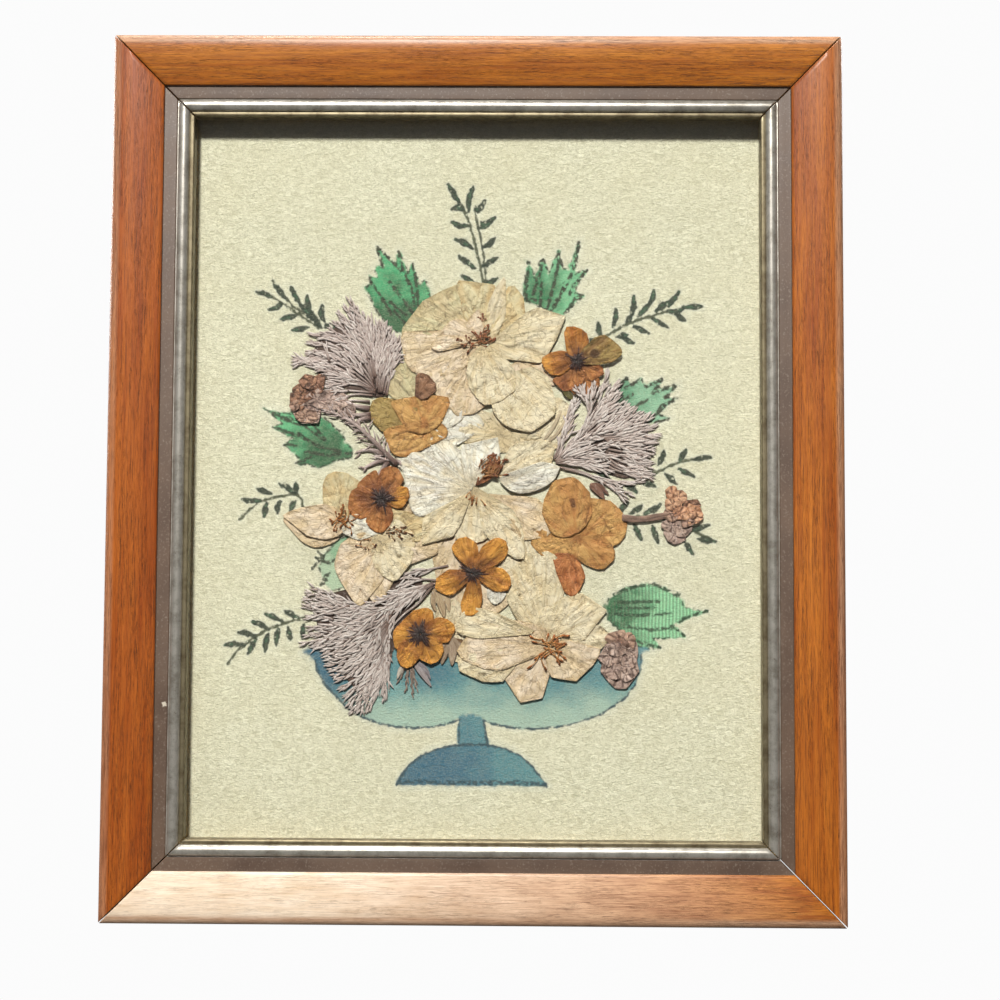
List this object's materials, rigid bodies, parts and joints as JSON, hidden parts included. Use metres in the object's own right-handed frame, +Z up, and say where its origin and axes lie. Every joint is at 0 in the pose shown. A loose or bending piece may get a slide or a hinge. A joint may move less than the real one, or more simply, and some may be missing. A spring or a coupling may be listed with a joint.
{
  "type": "pressed flower frame",
  "caption": "Hanging picture frame with a mitred wooden moulding, holding a bouquet of pressed flowers and fern fronds under glass on cream cloth printed with a footed bowl.",
  "frame": {"origin": "under the middle of the frame, level with its bottom edge, halfway through its depth", "axes": "+Z up as it hangs, +Y towards the wall, so the glass faces -Y, and +X to the right of someone looking at the picture"},
  "size_m": [0.2444, 0.0208, 0.2953],
  "materials": {
    "moulding": "satin-varnished golden brown wood with a taupe painted band, a worn silver-leaf bead and a thin gilt lip",
    "glass": "clear picture glass",
    "cloth": "cream napped felt, dyed with green leaves and a blue footed bowl, faintly yellowed at the lower edge",
    "board": "plain brown pressed card",
    "steel": "dull zinc-plated steel",
    "cream_petal": "dry cream petals, thin and veined, browned at the edges",
    "orange_petal": "dry orange-brown petals with a dark middle",
    "ochre_petal": "dry ochre petals with darker creases",
    "rust_petal": "dry rust-brown petal",
    "mauve_floret": "dry crumpled mauve-brown florets",
    "fern": "dry grey-mauve thread-leaf fronds"
  },
  "bodies": {
    "root": {"rail_bottom": "moulding", "rail_left": "moulding", "rail_top": "moulding", "rail_right": "moulding", "glass_pane": "glass", "cloth_panel": "cloth", "backing_board": "board", "point_bottom_a": "steel", "point_bottom_b": "steel", "point_left_a": "steel", "point_left_b": "steel", "point_top_a": "steel", "point_top_b": "steel", "point_right_a": "steel", "point_right_b": "steel", "sawtooth_hanger": "steel", "hanger_nail_left": "steel", "hanger_nail_right": "steel", "fern_upper_left": "fern", "fern_stalk_left": "fern", "fern_right": "fern", "fern_lower_left": "fern", "fern_wisp_low": "fern", "rust_petal": "rust_petal", "cream_petals_behind": "cream_petal", "cream_petals_lower_left": "cream_petal", "ochre_petals_left": "ochre_petal", "ochre_flower_right": "ochre_petal", "brown_buds_left": "mauve_floret", "pink_floret_right": "mauve_floret", "mauve_floret_low": "mauve_floret", "cream_flower_top": "cream_petal", "cream_flower_middle": "cream_petal", "cream_flower_bottom": "cream_petal", "cream_flower_left": "cream_petal", "orange_flower_right": "orange_petal", "dark_orange_flower_left": "orange_petal", "orange_flower_centre": "orange_petal", "orange_flower_low": "orange_petal", "brown_scrap": "rust_petal"}
  },
  "joints": []
}
